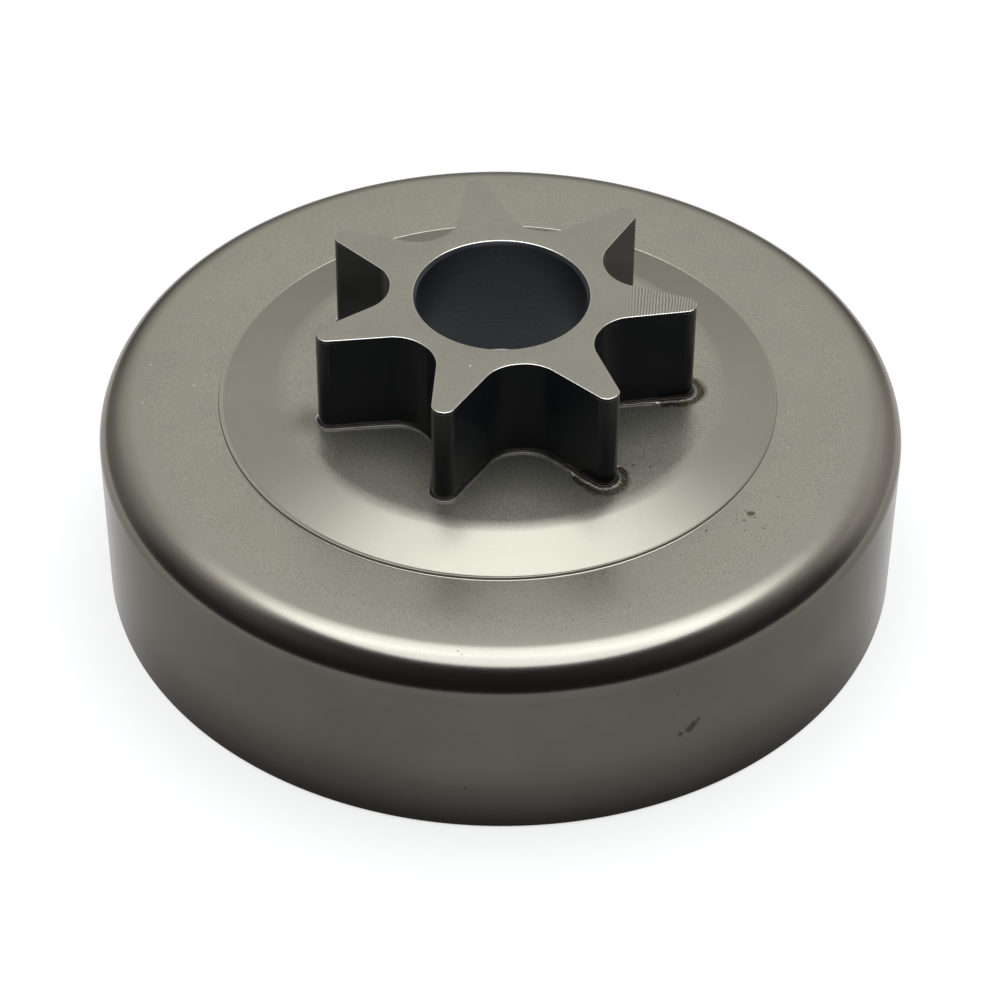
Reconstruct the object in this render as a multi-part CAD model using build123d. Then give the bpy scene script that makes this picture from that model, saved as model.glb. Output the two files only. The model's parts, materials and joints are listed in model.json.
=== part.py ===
from build123d import *
import math
import os

# Chainsaw clutch drum: a cup drawn from steel sheet, with a spur sprocket brazed onto its raised seat.
# The drum stands on its rim at Z = 0, and Z runs up along the bore. Lengths are in millimetres.

# Drum cup
drum_diameter = 80.0
drum_depth = 20.5             # rim to the flat ring of the outer face
sheet_thickness = 2.5
corner_radius = 3.8           # outside radius between side wall and face
corner_relief = 1.3           # turned chamfer inside that corner, at the end of the friction wall
rim_chamfer = 0.4

# Raised seat in the middle of the outer face
seat_diameter = 43.4          # where the flat seat turns down into its cone
cone_diameter = 54.9          # where the cone meets the flat ring
seat_rise = 1.45              # seat above the flat ring
coined_step = 0.2             # fine step pressed round the foot of the cone
seat_bend = 5.5               # inside radius of the turn from seat to cone

# Spur sprocket
tooth_count = 7
tip_diameter = 37.9
gullet_diameter = 22.0        # circle that touches the gullet floors
tip_width = 1.86              # tooth width at its tip, before the corners are rounded
flank_angle = 14.1            # lean of each flank from the middle of its tooth, in degrees
gullet_radius = 3.5
tip_radius = 1.0
tooth_height = 10.8
tooth_chamfer = 0.1           # broken edge round the top of the teeth
bore_diameter = 16.6
bore_chamfer = 0.35

# Spigot that centres the sprocket in the cup
spigot_diameter = 20.4
spigot_gap = 0.05             # radial gap that the filler metal runs into
spigot_stand = 0.5            # spigot below the underside of the seat

# Braze bead round the foot of the sprocket
bead_width = 0.4
bead_crest = 0.05             # width left at the top of the bead
bead_toe = 0.05               # thickness left at its outer edge
overflow_width = 0.9          # burnt collar beyond the tip of a tooth
overflow_height = 0.5
overflow_teeth = (0, 6)       # teeth with a collar, counted from +X

# Heights that the pieces share
seat_height = drum_depth + seat_rise


def corner(outline, x, y):
    """The corner of a flat outline that lies nearest to a point."""
    return outline.vertices().sort_by_distance((x, y, 0))[0]


def cup_section():
    """Half section of the cup, from its rim to the hole for the spigot, with radius along X and height along Y."""
    wall = drum_diameter / 2
    friction_wall = wall - sheet_thickness
    hole = spigot_diameter / 2 + spigot_gap
    ring_underside = drum_depth - sheet_thickness
    seat_underside = seat_height - sheet_thickness

    # The underside runs parallel to the outer face, so its two bends sit a little nearer the middle
    seat_edge = seat_diameter / 2
    cone_edge = cone_diameter / 2
    cone_slope = math.atan2(seat_rise - coined_step, cone_edge - seat_edge)
    bend_shift = sheet_thickness * math.tan(cone_slope / 2)
    seat_bend_edge = seat_edge - bend_shift
    foot_bend_edge = seat_edge + seat_rise / math.tan(cone_slope) - bend_shift

    section = make_face(Polyline(
        (wall, 0),
        (wall, drum_depth),
        (cone_edge, drum_depth),
        (cone_edge, drum_depth + coined_step),
        (seat_edge, seat_height),
        (hole, seat_height),
        (hole, seat_underside),
        (seat_bend_edge, seat_underside),
        (foot_bend_edge, ring_underside),
        (friction_wall, ring_underside),
        (friction_wall, 0),
        close=True,
    ))
    section = fillet(corner(section, wall, drum_depth), corner_radius)
    section = chamfer(corner(section, friction_wall, ring_underside), corner_relief)
    section = fillet(corner(section, seat_edge, seat_height), seat_bend + sheet_thickness)
    section = fillet(corner(section, seat_bend_edge, seat_underside), seat_bend)
    rim_corners = [corner(section, wall, 0), corner(section, friction_wall, 0)]
    return chamfer(rim_corners, rim_chamfer)


def tooth_outline():
    """Plan of the sprocket: straight-flanked teeth on a hub, with rounded gullets and tip corners."""
    reach = tip_diameter / 2
    tip_half = tip_width / 2
    base_half = tip_half + reach * math.tan(math.radians(flank_angle))
    tooth = make_face(Polyline(
        (0, -base_half),
        (reach, -tip_half),
        (reach, tip_half),
        (0, base_half),
        close=True,
    ))
    hub = RegularPolygon(gullet_diameter / 2, tooth_count, major_radius=False)
    outline = hub + PolarLocations(0, tooth_count) * tooth

    corners = 2 * tooth_count
    outline = fillet(outline.vertices().sort_by_distance((0, 0, 0))[:corners], gullet_radius)
    return fillet(outline.vertices().sort_by_distance((0, 0, 0))[-corners:], tip_radius)


def drum_cup():
    """The drawn cup, turned round the bore axis."""
    return revolve(Plane.XZ * cup_section(), Axis.Z)


def spur_sprocket(outline):
    """Teeth on the seat, a spigot through the cup's hole, and one bore through both."""
    teeth = extrude(outline, tooth_height)
    teeth = chamfer(teeth.faces().sort_by(Axis.Z)[-1].edges(), tooth_chamfer)
    spigot_length = sheet_thickness + spigot_stand
    spigot = extrude(Circle(spigot_diameter / 2), -spigot_length)
    bore_length = tooth_height + spigot_length
    bore = Pos(0, 0, -spigot_length) * extrude(Circle(bore_diameter / 2), bore_length)
    sprocket = teeth + spigot - bore
    round_edges = sprocket.edges().filter_by(GeomType.CIRCLE)
    bore_edges = round_edges.filter_by(lambda edge: math.isclose(edge.radius, bore_diameter / 2))
    return Pos(0, 0, seat_height) * chamfer(bore_edges, bore_chamfer)


def braze_bead(outline):
    """Filler metal round the foot of the teeth, with a wider burnt collar at some of the tips."""
    bead_run = bead_width - bead_crest
    bead_height = bead_toe + bead_run
    bead = extrude(offset(outline, bead_width), bead_height)
    bead = chamfer(bead.faces().sort_by(Axis.Z)[-1].edges(), bead_run)

    tip_half = tip_width / 2
    collar_radius = tip_half + overflow_width
    collar_top = collar_radius - overflow_height
    collar = Cone(collar_radius, collar_top, overflow_height, align=(Align.CENTER, Align.CENTER, Align.MIN))
    tip_centre = tip_diameter / 2 - tip_half
    for tooth in overflow_teeth:
        turn = tooth * 360 / tooth_count
        bead += Rot(0, 0, turn) * Pos(tip_centre, 0, 0) * collar
    bead -= extrude(outline, max(bead_height, overflow_height))
    return Pos(0, 0, seat_height) * bead


outline = tooth_outline()
parts = {
    "drum_cup": drum_cup(),
    "spur_sprocket": spur_sprocket(outline),
    "braze_bead": braze_bead(outline),
}

os.makedirs("parts", exist_ok=True)
for node, shape in parts.items():
    export_step(shape, f"parts/{node}.step")
    print(node, "volume", round(shape.volume, 1), "mm3")
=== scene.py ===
# %% [markdown]
# # A chainsaw clutch drum in satin steel
#
# The real drum is a cup drawn from steel sheet, with a black spur sprocket brazed onto a raised seat in its
# middle. Its construction comes packed as a fixed frame. This lesson keeps every size of that frame, rebuilds
# the three pieces as smooth meshes, and gives each of them the finish that the real one has.

# %% Load the frame
import json
import math

import bmesh
import bpy
from mathutils import Matrix, Quaternion, Vector, noise


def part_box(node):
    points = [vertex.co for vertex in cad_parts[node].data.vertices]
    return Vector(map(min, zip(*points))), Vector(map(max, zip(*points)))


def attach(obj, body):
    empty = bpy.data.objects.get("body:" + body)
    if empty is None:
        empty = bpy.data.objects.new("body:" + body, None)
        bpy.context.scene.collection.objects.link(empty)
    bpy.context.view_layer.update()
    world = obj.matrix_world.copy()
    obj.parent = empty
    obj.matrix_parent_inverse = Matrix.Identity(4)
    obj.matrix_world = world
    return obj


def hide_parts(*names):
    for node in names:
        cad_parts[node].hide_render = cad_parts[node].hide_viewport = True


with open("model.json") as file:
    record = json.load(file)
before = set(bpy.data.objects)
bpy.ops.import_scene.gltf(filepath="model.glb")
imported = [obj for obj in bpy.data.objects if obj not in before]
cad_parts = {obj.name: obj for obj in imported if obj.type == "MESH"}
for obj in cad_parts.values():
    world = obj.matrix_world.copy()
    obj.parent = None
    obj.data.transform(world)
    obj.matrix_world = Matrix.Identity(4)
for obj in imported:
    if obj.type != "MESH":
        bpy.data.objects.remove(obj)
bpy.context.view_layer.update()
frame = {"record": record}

# %% [markdown]
# ## Sizes
#
# A mesh that stands for a solid has to sit exactly where the solid is. So the outer sizes are read from the
# frame's boxes and from its mounts. Only small steps and roundings, which no box can tell, are named here.

# %% Read the sizes
MM = 0.001
mounts = {mount["name"]: mount for mount in frame["record"]["mounts"]}
cup_low, cup_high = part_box("drum_cup")
sprocket_low, sprocket_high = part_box("spur_sprocket")

drum_radius = cup_high.x
friction_radius = mounts["friction_wall"]["dims"]["r_mm"] * MM
sheet = drum_radius - friction_radius
bore_radius = mounts["bearing_bore"]["dims"]["r_mm"] * MM
seat_height = cup_high.z
seat_rise = 1.45 * MM
ring_height = seat_height - seat_rise
sprocket_top = sprocket_high.z
spigot_end = sprocket_low.z
spigot_radius = 10.2 * MM
spigot_gap = 0.05 * MM
tip_reach = sprocket_high.x
tip_half = 0.93 * MM
tooth_count = 7
tooth_step = 2 * math.pi / tooth_count
print("drum radius", round(drum_radius / MM, 2), "mm, sheet", round(sheet / MM, 2), "mm")


def polar(radius, angle, height):
    """A point by its distance from the axis, its angle from +X in degrees, and its height."""
    turn = math.radians(angle)
    return Vector((radius * math.cos(turn), radius * math.sin(turn), height))


# %% [markdown]
# ## Camera
#
# The picture to match was taken from a little under 40 degrees above the floor, with a long lens. A long
# lens keeps the far side of the drum nearly as large as the near side. The eye is placed by its distance and
# its two angles, it looks at a point on the drum's axis, and a small roll levels the drum.

# %% Place the camera
eye_distance = 330.83 * MM
eye_elevation = math.radians(39.362)
eye_azimuth = math.radians(4.53)
eye_roll = math.radians(0.464)
aim_drop = 14.344 * MM
picture_side = 1000
focal_pixels = 3324.1
sensor = 36.0

ring_centre = Vector((0, 0, ring_height))
eye_direction = Vector((
    math.sin(eye_azimuth) * math.cos(eye_elevation),
    -math.cos(eye_azimuth) * math.cos(eye_elevation),
    math.sin(eye_elevation),
))
eye = ring_centre + eye_distance * eye_direction
aim = ring_centre - Vector((0, 0, aim_drop))

camera_data = bpy.data.cameras.new("camera")
camera_data.sensor_width = sensor
camera_data.lens = focal_pixels / picture_side * sensor
camera_data.clip_start = 0.01
camera = bpy.data.objects.new("camera", camera_data)
camera.location = eye
camera.rotation_mode = "QUATERNION"
camera.rotation_quaternion = (aim - eye).to_track_quat("-Z", "Y") @ Quaternion((0, 0, 1), eye_roll)
bpy.context.scene.collection.objects.link(camera)
bpy.context.scene.camera = camera
print("lens", round(camera_data.lens, 1), "mm")

# %% [markdown]
# ## Shader maths
#
# A procedural finish is a sum of patterns, and sums are easier to read as arithmetic than as a tangle of
# nodes. The class below wraps a node's socket, so that `1 - mask * 0.5` adds the Math nodes by itself.
# Everything that isn't arithmetic comes from one method, `node`, which sets a node up and returns its output.

# %% A socket that does arithmetic
class Value:
    """A node's output that can be added to, multiplied and so on."""

    def __init__(self, shade, socket):
        self.shade = shade
        self.socket = socket

    def out(self, name):
        """Another output of the same node."""
        return Value(self.shade, self.socket.node.outputs[name])

    def maths(self, operation, first, second):
        return self.shade.node("ShaderNodeMath", {"operation": operation}, {0: first, 1: second})

    def __add__(self, other):
        return self.maths("ADD", self, other)

    def __radd__(self, other):
        return self.maths("ADD", other, self)

    def __sub__(self, other):
        return self.maths("SUBTRACT", self, other)

    def __rsub__(self, other):
        return self.maths("SUBTRACT", other, self)

    def __mul__(self, other):
        return self.maths("MULTIPLY", self, other)

    def __rmul__(self, other):
        return self.maths("MULTIPLY", other, self)

    def __truediv__(self, other):
        return self.maths("DIVIDE", self, other)

    def __pow__(self, other):
        return self.maths("POWER", self, other)

    def max(self, other):
        return self.maths("MAXIMUM", self, other)

    def size(self):
        return self.maths("ABSOLUTE", self, 0.0)

    def sine(self):
        return self.maths("SINE", self, 0.0)


class Shade:
    """A node tree under construction."""

    def __init__(self, tree):
        self.tree = tree
        tree.nodes.clear()

    def node(self, kind, settings=None, sockets=None, output=0):
        """One node: its settings are set first, then the values or links of its sockets."""
        made = self.tree.nodes.new(kind)
        for name, value in (settings or {}).items():
            setattr(made, name, value)
        for name, value in (sockets or {}).items():
            if isinstance(value, Value):
                self.tree.links.new(value.socket, made.inputs[name])
            else:
                made.inputs[name].default_value = value
        return Value(self, made.outputs[output]) if made.outputs else None

    def place(self):
        """Where a point is on the piece, in metres."""
        return self.node("ShaderNodeTexCoord", output="Object")

    def height(self, place):
        """The height of a point."""
        return self.node("ShaderNodeSeparateXYZ", None, {0: place}, "Z")

    def attribute(self, name):
        """A number that the mesh keeps at each of its points."""
        return self.node("ShaderNodeAttribute", {"attribute_name": name}, None, "Fac")

    def scaled(self, vector, factors):
        """A vector times another, part by part."""
        return self.node("ShaderNodeVectorMath", {"operation": "MULTIPLY"}, {0: vector, 1: factors})

    def distance(self, vector, point):
        """How far a vector is from a point."""
        return self.node("ShaderNodeVectorMath", {"operation": "DISTANCE"}, {0: vector, 1: point}, "Value")

    def grain(self, vector, scale, detail=2.0, roughness=0.5):
        """Cloudy noise around 0.5, with about `scale` lumps to the metre."""
        sockets = {"Vector": vector, "Scale": scale, "Detail": detail, "Roughness": roughness}
        return self.node("ShaderNodeTexNoise", None, sockets)

    def fade(self, value, start, end):
        """0 before start, 1 after end, and smooth between them."""
        sockets = {"Value": value, "From Min": start, "From Max": end}
        return self.node("ShaderNodeMapRange", {"interpolation_type": "SMOOTHSTEP"}, sockets)

    def band(self, value, low, high, soft):
        """1 between low and high, falling to 0 within `soft` on either side."""
        return self.fade(value, low - soft, low) * (1 - self.fade(value, high, high + soft))

    def blend(self, factor, first, second, mode="MIX"):
        """One colour into another."""
        settings = {"data_type": "RGBA", "blend_type": mode}
        return self.node("ShaderNodeMix", settings, {0: factor, 6: first, 7: second}, 2)

    def toned(self, colour, tone):
        """A colour made lighter or darker by a number."""
        level = self.node("ShaderNodeCombineColor", None, {0: tone, 1: tone, 2: tone})
        return self.blend(1.0, colour, level, "MULTIPLY")

    def spot(self, vector, mark, ragged=0.0):
        """1 inside a mark, 0 outside. A mark is its distance from the axis, angle, height and size."""
        radius, angle, height, size = mark
        centre = polar(radius * MM, angle, ring_height + height * MM)
        return 1 - self.fade(self.distance(vector, centre) + ragged, 0.3 * size * MM, 0.65 * size * MM)

    def bump(self, height, distance, strength=1.0):
        """Fine relief: height from 0 to 1 stands for `distance` metres."""
        sockets = {"Strength": strength, "Distance": distance, "Height": height}
        return self.node("ShaderNodeBump", None, sockets)

    def finish(self, sockets):
        """A Principled surface on the tree's output."""
        surface = self.node("ShaderNodeBsdfPrincipled", None, sockets)
        self.node("ShaderNodeOutputMaterial", None, {"Surface": surface})


def new_finish(name):
    """An empty material and its node tree."""
    material = bpy.data.materials.new(name)
    material.use_nodes = True
    return material, Shade(material.node_tree)


def grey(level):
    """A neutral colour."""
    return (level, level, level, 1.0)


print("shader helpers are ready")

# %% [markdown]
# ## Drawn steel
#
# The cup has the warm grey of drawn and blasted steel. Its flat faces are matt with a fine grain. The rounded
# edge and the side wall were drawn through a die, which burnished them: they are smoother, with faint lines
# around the girth and a darker one below the rounded edge. The side wall is also given a darker colour, which
# is painted shade for the shadowed floor that it reflects, and a painted shade that deepens towards the rim.
# Height tells these zones apart, and the distance from the axis keeps the painted shade off the inner wall,
# which the clutch shoes rub bright.
#
# Round two of the teeth the brazing heat left a brown stain on the seat, and handling left a few small marks.
# Beside the foot of a third tooth the seat is darkened with painted shade.

# %% The cup's finish
face_colour = (0.280, 0.262, 0.214, 1.0)
edge_colour = (0.242, 0.222, 0.192, 1.0)
# The wall's colour is darker than the faces as painted shade for the shadowed floor that it reflects.
shaded_wall_colour = (0.092, 0.0840, 0.0745, 1.0)
stain_colour = (0.040, 0.030, 0.018, 1.0)
dirt_colour = (0.030, 0.027, 0.022, 1.0)
bright_colour = (0.46, 0.44, 0.39, 1.0)
edge_tint = (0.74, 0.725, 0.70, 1.0)
face_roughness = 0.31
wall_roughness = 0.19
crust_teeth = (0, 6)
stain_reach = 2.5 * MM
# A painted shade darkens the seat beside the foot of one tooth.
tooth_shade_centre = (19.6, -156.0)
tooth_shade_reach = 3.6 * MM
land_shift = (-0.32 * MM, 0.05 * MM, 0)
# Painted shade: the outer wall is darkened over these heights above the rim, most strongly at the rim.
rim_shade_height = 9.0 * MM
foot_shade_height = 3.0 * MM
rim_shade_loss = 0.66
foot_shade_loss = 0.4
tooth_shade_loss = 0.4
dark_marks = [
    (29.95, -32.4, 0, 0.80),
    (29.01, -34.3, 0, 0.18),
    (29.38, -35.2, 0, 0.18),
    (29.20, -32.4, 0, 0.22),
    (30.02, -34.7, 0, 0.26),
    (30.60, -32.9, 0, 0.24),
    (30.90, -25.7, 0, 0.20),
    (32.13, -34.3, 0, 0.20),
    (30.97, -36.8, 0, 0.18),
    (28.33, -41.7, 0, 0.32),
    (18.05, -40.4, 1.45, 0.26),
    (19.42, -37.6, 1.45, 0.32),
    (40.0, -57.6, -10.4, 0.45),
    (40.0, -58.2, -10.8, 0.80),
    (40.0, -58.8, -11.3, 0.95),
    (40.0, -60.2, -11.6, 0.60),
    (40.0, -61.0, -6.1, 0.22),
    (40.0, -89.8, -15.2, 0.30),
    (28.30, -69.1, 0, 0.22),
    (28.30, -65.3, 0, 0.22),
    (37.30, -91.2, -0.2, 0.16),
    (37.60, -90.6, -0.3, 0.14),
]
bright_marks = [
    (29.75, -32.0, 0, 0.36),
    (29.24, -11.7, 0, 0.20),
    (35.4, 178.3, 0, 0.24),
    (30.6, 183.4, 0, 0.24),
    (35.5, -172.0, 0, 0.24),
]


def tip_centre(tooth):
    """The middle of a tooth's rounded tip, at the level of the seat."""
    return polar(tip_reach - tip_half, math.degrees(tooth * tooth_step), seat_height)


def drawn_steel():
    material, shade = new_finish("drawn_steel")
    place = shade.place()
    depth = ring_height - shade.height(place)
    flat_place = shade.scaled(place, (1, 1, 0))
    from_axis = shade.distance(flat_place, (0, 0, 0))

    fine = shade.grain(place, 10000, 1.0, 0.6)
    mottle = shade.grain(place, 240, 3.0, 0.55)
    cloud = shade.grain(place, 60, 2.0)
    lines = shade.grain(shade.scaled(place, (40, 40, 3200)), 1.0, 3.0, 0.6)

    burnish = shade.fade(depth, 0.03 * MM, 0.7 * MM)
    outside = shade.fade(from_axis, friction_radius + 0.1 * MM, friction_radius + 0.9 * MM)
    wall_share = shade.fade(depth, 1.0 * MM, 4.0 * MM) * outside
    die_line = shade.band(depth, 2.8 * MM, 3.1 * MM, 0.7 * MM)
    # Painted shade on the outer wall, deepening towards the rim in two steps.
    rim_shade_share = shade.fade(depth, ring_height - rim_shade_height, ring_height) * outside
    foot_shade_share = shade.fade(depth, ring_height - foot_shade_height, ring_height) * outside
    smooth_cone = shade.band(from_axis, 22.5 * MM, 27.3 * MM, 1.0 * MM)
    smooth = smooth_cone.max(shade.fade(from_axis, 35.5 * MM, 37.0 * MM))
    # Painted highlight: a thin line along the edge of the coined land is lightened.
    painted_land_highlight = shade.band(shade.distance(flat_place, land_shift), 27.62 * MM, 27.80 * MM, 0.08 * MM)
    # Painted shade: a soft dark patch on the seat beside one tooth's foot.
    tooth_shade_place = polar(tooth_shade_centre[0] * MM, tooth_shade_centre[1], seat_height)
    tooth_shade = 1 - shade.fade(shade.distance(place, tooth_shade_place), 0.0, tooth_shade_reach)

    speckle = (fine - 0.5) * (1 - smooth * 0.75)
    tone = 1 + speckle + (mottle - 0.5) * 0.08 + (cloud - 0.5) * (0.10 + wall_share * 0.30)
    tone = tone * (1 + (lines - 0.5) * wall_share * 0.07) * (1 + painted_land_highlight * 0.15)
    tone = tone * (1 - die_line * lines * 0.25) * (1 - rim_shade_share * rim_shade_loss)
    tone = tone * (1 - foot_shade_share * foot_shade_loss) * (1 - tooth_shade * tooth_shade_loss)
    colour = shade.blend(burnish, face_colour, edge_colour)
    colour = shade.toned(shade.blend(wall_share, colour, shaded_wall_colour), tone)

    ragged = (mottle - 0.5) * 1.2 * MM + (fine - 0.5) * 1.2 * MM
    for tooth in crust_teeth:
        reach = shade.distance(place, tip_centre(tooth)) + ragged
        stain = 1 - shade.fade(reach, stain_reach - 0.45 * MM, stain_reach + 0.2 * MM)
        colour = shade.blend(stain * shade.fade(fine, 0.30, 0.56), colour, stain_colour)
    uneven = (fine - 0.5) * 0.3 * MM
    for mark in bright_marks:
        colour = shade.blend(shade.spot(place, mark, uneven), colour, bright_colour)
    for mark in dark_marks:
        colour = shade.blend(shade.spot(place, mark, uneven) * 0.8, colour, dirt_colour)

    roughness = face_roughness - burnish * (face_roughness - wall_roughness)
    roughness = roughness + (fine - 0.5) * 0.2 * (1 - smooth * 0.75) + (lines - 0.5) * wall_share * 0.03
    relief = shade.bump(fine * (1 - smooth * 0.85), 0.010 * MM, 0.6)
    shade.finish({
        "Base Color": colour,
        "Metallic": 0.84 + burnish * 0.16,
        "Roughness": roughness,
        "Specular Tint": edge_tint,
        "Normal": relief,
    })
    return material


drawn_steel_finish = drawn_steel()
print("made", drawn_steel_finish.name, "with", len(dark_marks) + len(bright_marks), "marks")

# %% [markdown]
# ## Black oxide and ground steel
#
# The sprocket was hardened, which left its flanks and its bore black, and then its top was ground bright. So
# it takes three finishes on one mesh: the faces that the grinder reached are steel, with bright worn edges,
# the flanks are black, and the bore, which was honed for its needle bearing, is a lighter black.

# %% The ground top
ground_colour = (0.272, 0.259, 0.214, 1.0)
worn_colour = (0.560, 0.540, 0.490, 1.0)
mill_pitch = 0.29 * MM
mill_start = 11.6 * MM
mill_half = 3.2 * MM
top_dot = (11.5, -100.2, 12.25, 0.24)


def ground_steel():
    material, shade = new_finish("ground_steel")
    place = shade.place()
    fine = shade.grain(place, 7500, 2.0, 0.6)
    mottle = shade.grain(place, 260, 2.0)
    along = shade.node("ShaderNodeSeparateXYZ", None, {0: place}, "X")
    milled = shade.fade(along, mill_start, mill_start + 2 * MM)
    milled = milled * (1 - shade.fade(along.out("Y").size(), mill_half, mill_half + 0.5 * MM))
    ridges = ((along + (mottle - 0.5) * 0.6 * MM) * (2 * math.pi / mill_pitch)).sine() * milled

    tone = 1 + (fine - 0.5) * 0.45 + (mottle - 0.5) * 0.12 + ridges * 0.36
    worn = 1 - shade.fade(shade.height(place), sprocket_top - 0.004 * MM, sprocket_top - 0.0005 * MM)
    colour = shade.toned(shade.blend(worn, ground_colour, worn_colour), tone)
    colour = shade.blend(shade.spot(place, top_dot), colour, worn_colour)
    roughness = 0.32 + (fine - 0.5) * 0.15 - worn * 0.08
    relief = shade.bump(fine + ridges * 0.6, 0.010 * MM, 0.5)
    shade.finish({"Base Color": colour, "Metallic": 1.0, "Roughness": roughness, "Normal": relief})
    return material


ground_steel_finish = ground_steel()
print("made", ground_steel_finish.name)

# %% The black flanks
flank_colour = (0.0135, 0.0148, 0.0172, 1.0)
tip_colour = (0.034, 0.033, 0.031, 1.0)
wear_and_glint_colour = (0.130, 0.128, 0.120, 1.0)
edge_glint_drop = 0.30 * MM
tip_corner = 18.22 * MM


def black_oxide():
    material, shade = new_finish("black_oxide")
    place = shade.place()
    height = shade.height(place)
    from_axis = shade.distance(shade.scaled(place, (1, 1, 0)), (0, 0, 0))
    fine = shade.grain(place, 3000, 3.0)
    cloud = shade.grain(place, 180, 2.0)
    # The flanks are darkened towards their foot as painted shade where they meet the seat.
    foot = 1 - shade.fade(height, seat_height, seat_height + 4 * MM)
    # The tips are painted lighter towards the top, partly from rubbing and partly as a painted sheen.
    rubbed_and_sheen = shade.fade(height, seat_height + 1.5 * MM, sprocket_top)
    tip = shade.fade(from_axis, tip_corner, tip_corner + 0.2 * MM) * rubbed_and_sheen
    # Painted highlight: a thin light line along each corner of a tip.
    corner = shade.band(from_axis, tip_corner - 0.05 * MM, tip_corner + 0.02 * MM, 0.05 * MM) * rubbed_and_sheen
    colour = shade.blend(tip, flank_colour, tip_colour)
    colour = shade.toned(colour, (0.75 + fine * 0.1 + cloud * 0.4) * (1 - foot * 0.6))
    colour = shade.blend(corner * (0.1 + fine * 0.3), colour, wear_and_glint_colour)
    # Painted highlight: a thin light line along the flanks, just under the ground top.
    edge_glint = shade.band(sprocket_top - height, edge_glint_drop - 0.03 * MM, edge_glint_drop + 0.03 * MM, 0.04 * MM)
    edge_glint = edge_glint * shade.fade(from_axis, 16.8 * MM, 18.2 * MM) * fine * 1.4
    colour = shade.blend(edge_glint, colour, wear_and_glint_colour)
    shade.finish({
        "Base Color": colour,
        "Metallic": 0.0,
        "Roughness": 0.24 + (fine - 0.5) * 0.04,
        "Specular IOR Level": 0.33,
        "Normal": shade.bump(fine, 0.002 * MM, 0.2),
    })
    return material


flank_finish = black_oxide()
print("made", flank_finish.name)

# %% The bore
bore_colour = (0.056, 0.060, 0.066, 1.0)


def polished_bore():
    material, shade = new_finish("polished_bore")
    place = shade.place()
    fine = shade.grain(place, 3000, 3.0)
    hone = shade.grain(shade.scaled(place, (300, 300, 4000)), 1.0, 2.0)
    colour = shade.toned(bore_colour, 0.6 + fine * 0.4 + hone * 0.4)
    roughness = 0.50 + (fine - 0.5) * 0.06 + (hone - 0.5) * 0.1
    shade.finish({"Base Color": colour, "Metallic": 1.0, "Roughness": roughness})
    return material


bore_finish = polished_bore()
print("made", bore_finish.name)

# %% [markdown]
# ## Braze filler
#
# The filler is a pale metal, but the heat burnt most of it dark. Only the ridge along its outer edge kept its
# shine, and the crusts are a grainy brown. The mesh keeps two numbers at each point, how far out it lies on
# the bead and how much it belongs to a crust, and the finish reads both.

# %% The filler's finish
filler_colour = (0.48, 0.465, 0.430, 1.0)
burnt_colour = (0.030, 0.024, 0.017, 1.0)
scale_colour = (0.120, 0.098, 0.073, 1.0)


def braze_filler():
    material, shade = new_finish("braze_filler")
    place = shade.place()
    outward = shade.attribute("outward")
    crust = shade.attribute("crust")
    fine = shade.grain(place, 6500, 4.0, 0.65)
    ridge = shade.fade(outward, 0.36, 0.55) * (0.4 + fine) * (1 - crust * 0.6)
    skirt = shade.fade(outward, 0.82, 0.90) * crust
    burnt = shade.blend(shade.fade(fine, 0.46, 0.62), burnt_colour, scale_colour)
    colour = shade.toned(shade.blend(ridge, burnt_colour, filler_colour), 0.6 + fine * 0.8)
    colour = shade.blend(skirt, colour, burnt)
    shade.finish({
        "Base Color": colour,
        "Metallic": 1.0,
        "Roughness": 0.38 + (fine - 0.5) * 0.3,
        "Normal": shade.bump(fine, 0.02 * MM, 0.8),
    })
    return material


braze_filler_finish = braze_filler()
print("made", braze_filler_finish.name)

# %% [markdown]
# ## From an outline to a piece
#
# Both steel pieces start as a closed outline of a few corners. Vertex bevels round the corners, each to its
# own radius: to round a corner of angle a to radius r, the straight edges are cut back by r / tan(a / 2).

# %% Outline helpers
def draw_outline(bm, points):
    """A closed wire through the points."""
    verts = [bm.verts.new(point) for point in points]
    for start, end in zip(verts, verts[1:] + verts[:1]):
        bm.edges.new((start, end))
    return verts


def round_corners(bm, verts, radii, turn_per_segment=math.radians(7)):
    """Rounds each corner of a closed wire to its own radius; 0 leaves it sharp."""
    points = [vert.co.copy() for vert in verts]
    for index, (vert, radius) in enumerate(zip(verts, radii)):
        if radius == 0:
            continue
        before = points[index - 1] - points[index]
        after = points[(index + 1) % len(points)] - points[index]
        angle = before.angle(after)
        bmesh.ops.bevel(
            bm,
            geom=[vert],
            offset=radius / math.tan(angle / 2),
            offset_type="OFFSET",
            segments=max(3, round((math.pi - angle) / turn_per_segment)),
            profile=0.5,
            affect="VERTICES",
            material=-1,
            clamp_overlap=False,
        )


print("outline helpers are ready")


# %% The piece helper
def make_piece(bm, name, finishes, node, sharp=math.radians(40)):
    """Turns a bmesh into a finished piece that stands for a node of the frame."""
    bmesh.ops.remove_doubles(bm, verts=bm.verts, dist=0.0005 * MM)
    bmesh.ops.recalc_face_normals(bm, faces=bm.faces)
    mesh = bpy.data.meshes.new(name)
    bm.to_mesh(mesh)
    open_edges = sum(len(edge.link_faces) != 2 for edge in bm.edges)
    bm.free()
    mesh.shade_smooth()
    mesh.set_sharp_from_angle(angle=sharp)
    for finish in finishes:
        mesh.materials.append(finish)
    piece = bpy.data.objects.new(name, mesh)
    bpy.context.scene.collection.objects.link(piece)
    weighted = piece.modifiers.new("flat_faces_lead", "WEIGHTED_NORMAL")
    weighted.keep_sharp = True
    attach(piece, "root")
    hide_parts(node)
    mesh.calc_loop_triangles()
    print(name, len(mesh.loop_triangles), "triangles,", open_edges, "open edges")


print("piece helper is ready")

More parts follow.
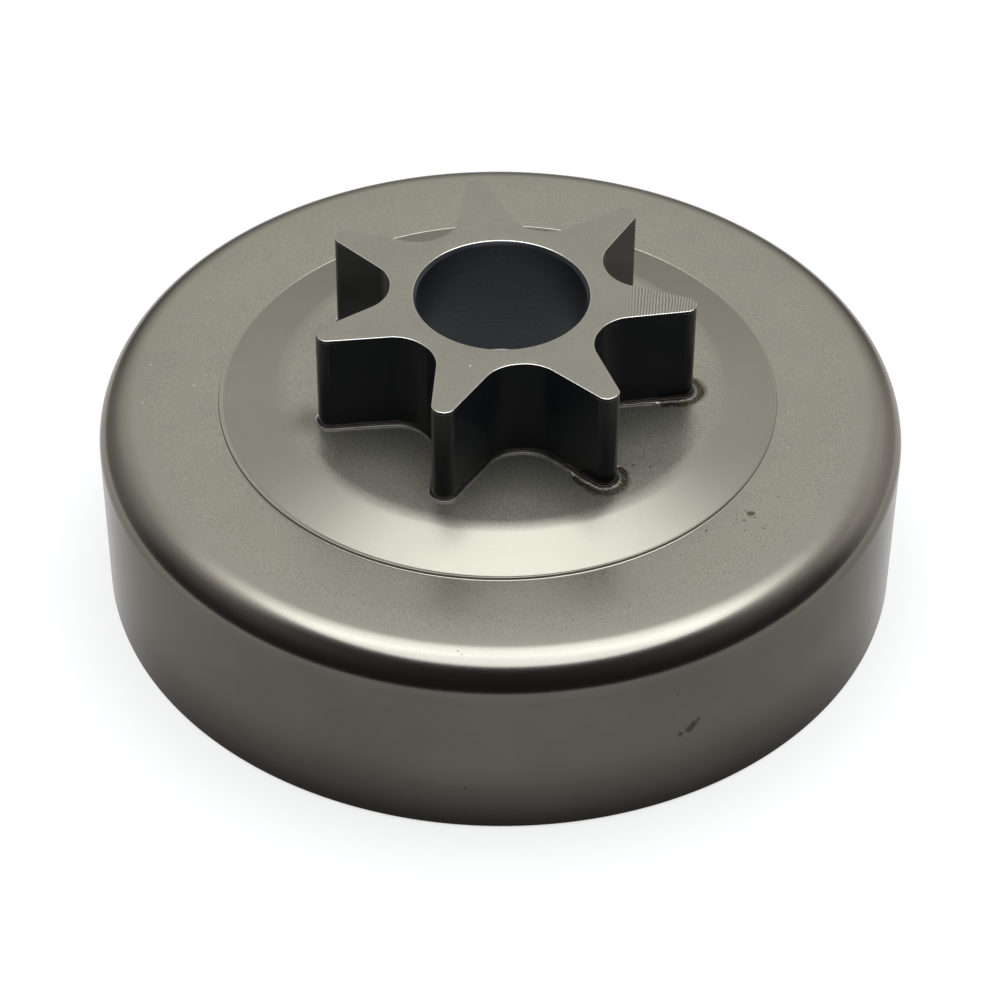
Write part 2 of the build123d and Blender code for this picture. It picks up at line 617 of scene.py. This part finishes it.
# %% [markdown]
# ## The cup
#
# A drawn cup is the same all the way round, so half of its section, spun about the bore's axis, gives the
# whole of it. The section runs up the outer wall, over the rounded edge and the ring, which the press left
# very slightly crowned. Then it goes up a narrow coined land and a shallow cone to the seat, and back along
# the inside.

# %% Draw the section
seat_edge = 21.7 * MM
land_inner = 27.42 * MM
land_outer = 27.68 * MM
land_rise = 0.20 * MM
land_lip = 0.03 * MM
land_lean = 0.04 * MM
land_fillet = 0.12 * MM
land_break = 0.04 * MM
lip_break = 0.03 * MM
crown_radius = 34.0 * MM
crown_rise = 0.07 * MM
crown_inner_slope = math.tan(math.radians(1.3))
crown_outer_slope = math.tan(math.radians(2.2))
crown_bend = 60 * MM
edge_radius = 3.7 * MM
seat_bend = 5.5 * MM
corner_relief = 1.3 * MM
rim_break = 0.4 * MM

cone_foot = (land_inner - 2 * land_lip, land_rise - land_lip)
cone_slope = math.atan2(seat_rise - cone_foot[1], cone_foot[0] - seat_edge)
bend_shift = sheet * math.tan(cone_slope / 2)
hole_radius = spigot_radius + spigot_gap
land_foot = land_outer + land_lean
foot_level = ring_height + crown_rise - (crown_radius - land_foot) * crown_inner_slope
inner_bend = seat_edge + seat_rise / math.tan(cone_slope) - bend_shift
edge_drop = (drum_radius - crown_radius) * crown_outer_slope - crown_rise
cup_corners = [
    (drum_radius, 0, rim_break),
    (drum_radius, ring_height - edge_drop, edge_radius),
    (crown_radius, ring_height + crown_rise, crown_bend),
    (land_foot, foot_level, land_fillet),
    (land_outer, ring_height + land_rise, land_break),
    (land_inner, ring_height + land_rise, lip_break),
    (cone_foot[0], ring_height + cone_foot[1], lip_break),
    (seat_edge, seat_height, seat_bend + sheet),
    (hole_radius, seat_height, 0),
    (hole_radius, seat_height - sheet, 0),
    (seat_edge - bend_shift, seat_height - sheet, seat_bend),
    (inner_bend, ring_height - sheet, seat_bend + sheet),
    (friction_radius - corner_relief, ring_height - sheet, 0),
    (friction_radius, ring_height - sheet - corner_relief, 0),
    (friction_radius, 0, rim_break),
]

cup = bmesh.new()
cup_wire = draw_outline(cup, [(radius, 0, height) for radius, height, _ in cup_corners])
round_corners(cup, cup_wire, [rounding for _, _, rounding in cup_corners], math.radians(4))
print("section of", len(cup.verts), "points")

# %% [markdown]
# The coining tool sat a little to one side, so the land is wider on the left than on the right. After the
# spin, its rings of vertices are moved by the tool's offset, which fades out on the ring.

# %% Spin the cup
turn_steps = 288
inner_offset = Vector((-0.13, 0, 0)) * MM
outer_offset = Vector(land_shift)
offset_end = 28.46 * MM

bmesh.ops.spin(
    cup,
    geom=cup.verts[:] + cup.edges[:],
    cent=(0, 0, 0),
    axis=(0, 0, 1),
    angle=2 * math.pi,
    steps=turn_steps,
    use_merge=True,
)
for vert in cup.verts:
    radius = vert.co.xy.length
    if vert.co.z < ring_height - seat_rise or not cone_foot[0] - 0.1 * MM < radius < offset_end:
        continue
    if radius < (land_inner + land_outer) / 2:
        vert.co += inner_offset
    else:
        vert.co += outer_offset * min(1, (offset_end - radius) / (offset_end - land_foot))
make_piece(cup, "cup_shell", [drawn_steel_finish], "drum_cup")

# %% [markdown]
# ## The sprocket
#
# Each tooth is a straight-sided wedge. Its corners are turned round the axis seven times to give the plan,
# with the gullets and the tips rounded. The plan is filled around the bore and extruded upwards, the ring
# around the bore is extruded downwards as the spigot, and last the edges are broken by bevels.

# %% Draw the teeth
flank_lean = math.tan(math.radians(14.1))
gullet_floor = 11.0 * MM
gullet_radius = 3.5 * MM
tip_radius = 1.0 * MM
round_steps = 168


def tooth_corners():
    """One tooth on the X axis: its two gullet corners and two tip corners, going round."""
    half_step = tooth_step / 2
    reach_at_axis = tip_half + tip_reach * flank_lean
    root = gullet_floor - math.sin(half_step) * reach_at_axis
    root /= math.cos(half_step) - flank_lean * math.sin(half_step)
    root_half = tip_half + (tip_reach - root) * flank_lean
    return [(root, -root_half), (tip_reach, -tip_half), (tip_reach, tip_half), (root, root_half)]


def sprocket_plan(bm, height):
    """The rounded outline of all the teeth, as a wire."""
    points, radii = [], []
    for tooth in range(tooth_count):
        turn = Matrix.Rotation(tooth * tooth_step, 3, "Z")
        for along, across in tooth_corners():
            points.append(turn @ Vector((along, across, height)))
        radii += [gullet_radius, tip_radius, tip_radius, gullet_radius]
    round_corners(bm, draw_outline(bm, points), radii)


def ring_of_edges(bm, radius, height):
    """A circle of edges round the axis."""
    lift = Matrix.Translation((0, 0, height))
    made = bmesh.ops.create_circle(bm, segments=round_steps, radius=radius, matrix=lift)
    return {edge for vert in made["verts"] for edge in vert.link_edges}


sprocket = bmesh.new()
sprocket_plan(sprocket, seat_height)
outer_edges = set(sprocket.edges)
spigot_edges = ring_of_edges(sprocket, spigot_radius, seat_height)
bore_edges = ring_of_edges(sprocket, bore_radius, seat_height)
upwards = (0, 0, 1)
bmesh.ops.triangle_fill(sprocket, use_beauty=True, edges=list(outer_edges | spigot_edges), normal=upwards)
under_teeth = set(sprocket.faces)
bmesh.ops.triangle_fill(sprocket, use_beauty=True, edges=list(spigot_edges | bore_edges), normal=upwards)
under_spigot = [face for face in sprocket.faces if face not in under_teeth]
print("plan faces", len(under_teeth), len(under_spigot))

# %% Raise the teeth and lower the spigot
raised = bmesh.ops.extrude_face_region(sprocket, geom=sprocket.faces[:], use_keep_orig=True)
top_verts = [item for item in raised["geom"] if isinstance(item, bmesh.types.BMVert)]
bmesh.ops.translate(sprocket, verts=top_verts, vec=(0, 0, sprocket_top - seat_height))
lowered = bmesh.ops.extrude_face_region(sprocket, geom=under_spigot)
low_verts = [item for item in lowered["geom"] if isinstance(item, bmesh.types.BMVert)]
bmesh.ops.translate(sprocket, verts=low_verts, vec=(0, 0, spigot_end - seat_height))
left_inside = [face for face in under_spigot if face.is_valid]
bmesh.ops.delete(sprocket, geom=left_inside, context="FACES")
bmesh.ops.recalc_face_normals(sprocket, faces=sprocket.faces)
print("removed", len(left_inside), "faces from the inside")

# %% [markdown]
# The bore has a lead-in chamfer at both ends, so it is bevelled twice: one flat cut, then a small rounding of
# the sharp edge that the cut leaves. The edges of the teeth get only the small rounding. The chamfers stay as
# black as the flanks.

# %% Break the edges
edge_break = 0.10 * MM
bore_chamfer = 0.35 * MM
bore_break = 0.05 * MM
wide_bore = 9.4 * MM


def edges_at(bm, height, smallest, largest, sharpest=30):
    """Sharp edges that lie at a height, between two distances from the axis."""
    found = []
    for edge in bm.edges:
        level = all(abs(vert.co.z - height) < 0.001 * MM for vert in edge.verts)
        inside = all(smallest < vert.co.xy.length < largest for vert in edge.verts)
        closed = len(edge.link_faces) == 2
        if level and inside and closed and edge.calc_face_angle() > math.radians(sharpest):
            found.append(edge)
    return found


def break_edges(bm, edges, offset, segments):
    bmesh.ops.bevel(
        bm, geom=edges, offset=offset, offset_type="OFFSET", segments=segments, profile=0.5, affect="EDGES",
        material=-1, clamp_overlap=False,
    )


for end in (sprocket_top, spigot_end):
    break_edges(sprocket, edges_at(sprocket, end, 0, wide_bore), bore_chamfer, 1)
    break_edges(sprocket, edges_at(sprocket, end, 0, wide_bore), bore_break, 3)
    break_edges(sprocket, edges_at(sprocket, end, wide_bore, drum_radius), edge_break, 6)

ground_line = sprocket_top - 0.03 * MM
bore_line = bore_radius + 0.02 * MM
for face in sprocket.faces:
    middle = face.calc_center_median()
    if middle.z > ground_line:
        face.material_index = 0
    else:
        face.material_index = 2 if middle.xy.length < bore_line else 1
sprocket_finishes = [ground_steel_finish, flank_finish, bore_finish]
make_piece(sprocket, "sprocket_body", sprocket_finishes, "spur_sprocket")

# %% [markdown]
# ## The braze bead
#
# When the joint was brazed, filler metal ran out round the foot of the sprocket and set as a thin bead. At
# two of the teeth too much of it ran out and burnt to a rough crust. The bead starts as the sprocket's plan,
# cut into short edges. Extruding those edges again and again carries them round the bead's small section, and
# smooth noise makes the section uneven. In a crust the outer part of the section is pulled out into a low,
# grainy skirt.

# %% Lay the bead's path
bead_spacing = 0.10 * MM
bead = bmesh.new()
outward_layer = bead.verts.layers.float.new("outward")
crust_layer = bead.verts.layers.float.new("crust")
sprocket_plan(bead, seat_height)
for edge in bead.edges[:]:
    cuts = int(edge.calc_length() / bead_spacing)
    if cuts:
        bmesh.ops.subdivide_edges(bead, edges=[edge], cuts=cuts)
plan_face = bmesh.ops.contextual_create(bead, geom=bead.edges[:])["faces"][0]
facing = 1 if plan_face.normal.z > 0 else -1
foot_of = {}
for loop in plan_face.loops:
    along = loop.link_loop_next.vert.co - loop.link_loop_prev.vert.co
    foot_of[loop.vert] = (loop.vert.co.copy(), facing * Vector((along.y, -along.x, 0)).normalized())
bmesh.ops.delete(bead, geom=[plan_face], context="FACES_ONLY")
print("bead path of", len(foot_of), "points")

# %% Carry the path round the bead's section
bead_width = 0.39 * MM
bead_height = 0.19 * MM
crust_width = 0.72 * MM
crust_height = 0.08 * MM
skirt_start = 0.82
crust_reach = 2.2 * MM
crust_run = 2.3 * MM
crust_lean = 5.2
crust_fade = 0.8 * MM
flank_gap = 0.9 * MM
width_lumps = 900
skirt_lumps = 1200
height_lumps = 700
crust_lumps = 6500
bead_section = [
    (0, 0.8), (0.15, 0.62), (0.35, 0.5), (0.55, 0.56), (0.7, 0.74), (0.82, 0.8),
    (0.86, 0.72), (0.9, 0.6), (0.94, 0.45), (0.97, 0.3), (1, 0.15), (1, 0), (0, 0),
]


def crust_share(point):
    """1 at the tips with a crust and a little way along one flank of each, falling to 0 away from there."""
    gaps = []
    for tooth in crust_teeth:
        angle = math.degrees(tooth * tooth_step) - crust_lean
        along_flank = polar(tip_reach - crust_run, angle, seat_height)
        gaps += [(point - tip_centre(tooth)).length, (point - along_flank).length + flank_gap]
    share = max(0, min(1, (crust_reach - min(gaps)) / crust_fade))
    return share * share * (3 - 2 * share)


row = bead.edges[:]
for outward_share, height_share in bead_section:
    grown = bmesh.ops.extrude_edge_only(bead, edges=row)["geom"]
    fresh = {item for item in grown if isinstance(item, bmesh.types.BMVert)}
    row = [item for item in grown if isinstance(item, bmesh.types.BMEdge) and fresh.issuperset(item.verts)]
    next_foot = {}
    for vert in fresh:
        parent = next(edge.other_vert(vert) for edge in vert.link_edges if edge.other_vert(vert) in foot_of)
        foot, outward = foot_of[parent]
        crust = crust_share(foot)
        width = bead_width * (1 + 0.25 * noise.noise(foot * width_lumps)) * outward_share
        skirt = crust * max(0, outward_share - skirt_start) / (1 - skirt_start)
        width += skirt * crust_width * (1 + 0.3 * noise.noise(foot * skirt_lumps))
        spot = foot + outward * width
        tall = bead_height * (1 + 0.15 * noise.noise(foot * height_lumps)) * height_share
        if skirt and height_share:
            grains = crust_height * (1.1 - skirt) * (1 + noise.noise(spot * crust_lumps))
            tall += min(1, 4 * skirt) * (grains - tall)
        vert.co = spot + Vector((0, 0, tall))
        vert[outward_layer] = outward_share
        vert[crust_layer] = crust
        next_foot[vert] = (foot, outward)
    foot_of = next_foot
bead_sharp = math.radians(70)
make_piece(bead, "filler_bead", [braze_filler_finish], "braze_bead", bead_sharp)

# %% [markdown]
# ## Floor and light
#
# The drum stands on a plain pale board under one large softbox. The board ends just outside the picture, and
# the darker room beyond it gives the foot of the rounded edge its dark line. The room brightens from the dark
# behind the camera to a lit backdrop behind the drum, with a gap under the softbox and a glow to both sides,
# stronger on the right. A metal surface shows all of that in its reflections.

# %% The floor
floor_colour = (0.95, 0.92, 0.895, 1.0)
floor_white = 0.72
board_radius = 112 * MM
board_middle = 20 * MM
board_drop = 0.02 * MM
board_steps = 128


def pale_floor():
    material, shade = new_finish("pale_floor")
    matt = shade.node("ShaderNodeBsdfDiffuse", None, {"Color": floor_colour})
    white = shade.node("ShaderNodeEmission", None, {"Color": grey(1.0), "Strength": 1.0})
    ray = shade.node("ShaderNodeLightPath", output="Is Camera Ray")
    seen = ray.max(ray.out("Is Glossy Ray")).max(ray.out("Is Transmission Ray"))
    surface = shade.node("ShaderNodeMixShader", None, {0: seen * floor_white, 1: matt, 2: white})
    shade.node("ShaderNodeOutputMaterial", None, {"Surface": surface})
    return material


floor_mesh = bmesh.new()
bmesh.ops.create_circle(floor_mesh, cap_ends=True, segments=board_steps, radius=board_radius)
floor_data = bpy.data.meshes.new("floor")
floor_mesh.to_mesh(floor_data)
floor_mesh.free()
floor_data.materials.append(pale_floor())
floor = bpy.data.objects.new("floor", floor_data)
floor.location = (0, board_middle, -board_drop)
bpy.context.scene.collection.objects.link(floor)
print("board", round(2 * board_radius, 3), "m across")

# %% The room and the softbox
room_front = 0.04
backdrop_foot = 0.15
backdrop_rise = 1.10
backdrop_full = 0.75
backdrop_end = 0.58
backdrop_gap = 0.66
gap_soft = 0.14
halo_radiance = 1.4
side_radiance = 0.40
side_lean = 0.45
softbox_distance = 1.4
softbox_half_angle = math.radians(30.5)
softbox_tilt = math.radians(2.8)
softbox_bearing = math.radians(25)
softbox_radiance = 3.8
softbox_colour = (0.88, 0.945, 1.0)

world = bpy.data.worlds.new("room")
world.use_nodes = True
room = Shade(world.node_tree)
direction = room.node("ShaderNodeTexCoord", output="Generated")
split = room.node("ShaderNodeSeparateXYZ", None, {0: direction})
across, away, up = split, split.out("Y"), split.out("Z")
level = (across * across + away * away) ** 0.5
behind = (away * math.cos(eye_azimuth) - across * math.sin(eye_azimuth)) / level.max(0.001)
rightward = (across * math.cos(eye_azimuth) + away * math.sin(eye_azimuth)) / level.max(0.001)
facing_us = (behind + 1) * 0.5
spread = facing_us ** 1.2 * 0.5 + facing_us ** 16 * 0.5
lit = room.fade(up, 0.0, backdrop_full) * backdrop_rise + backdrop_foot
lit = lit - room.fade(up, backdrop_end, backdrop_end + gap_soft) * backdrop_gap
halo = room.fade(behind, -0.5, 0.2) * (1 - room.fade(behind, 0.5, 0.85))
halo = halo * room.fade(up, 0.5, 1.0) * halo_radiance
side = room.fade(behind, 0.0, 0.45) * (1 - room.fade(behind, 0.75, 0.95))
side = side * (1 - room.fade(up, 0.4, 0.7)) * (1 + rightward * side_lean) * side_radiance
radiance = lit * spread + halo + side + room_front
background = room.node("ShaderNodeBackground", None, {"Color": grey(1.0), "Strength": radiance})
room.node("ShaderNodeOutputWorld", None, {"Surface": background})
bpy.context.scene.world = world

softbox_radius = softbox_distance * math.tan(softbox_half_angle)
softbox_data = bpy.data.lights.new("softbox", "AREA")
softbox_data.shape = "DISK"
softbox_data.size = 2 * softbox_radius
softbox_data.energy = softbox_radiance * math.pi * math.pi * softbox_radius ** 2
softbox_data.color = softbox_colour
softbox = bpy.data.objects.new("softbox", softbox_data)
softbox.location = softbox_distance * Vector((
    math.sin(softbox_tilt) * math.cos(softbox_bearing),
    math.sin(softbox_tilt) * math.sin(softbox_bearing),
    math.cos(softbox_tilt),
))
softbox.rotation_mode = "QUATERNION"
softbox.rotation_quaternion = (-softbox.location).to_track_quat("-Z", "Y")
bpy.context.scene.collection.objects.link(softbox)
bpy.context.scene.view_settings.view_transform = "Standard"
print("softbox", round(softbox_data.size, 2), "m across,", round(softbox_data.energy, 1), "W")
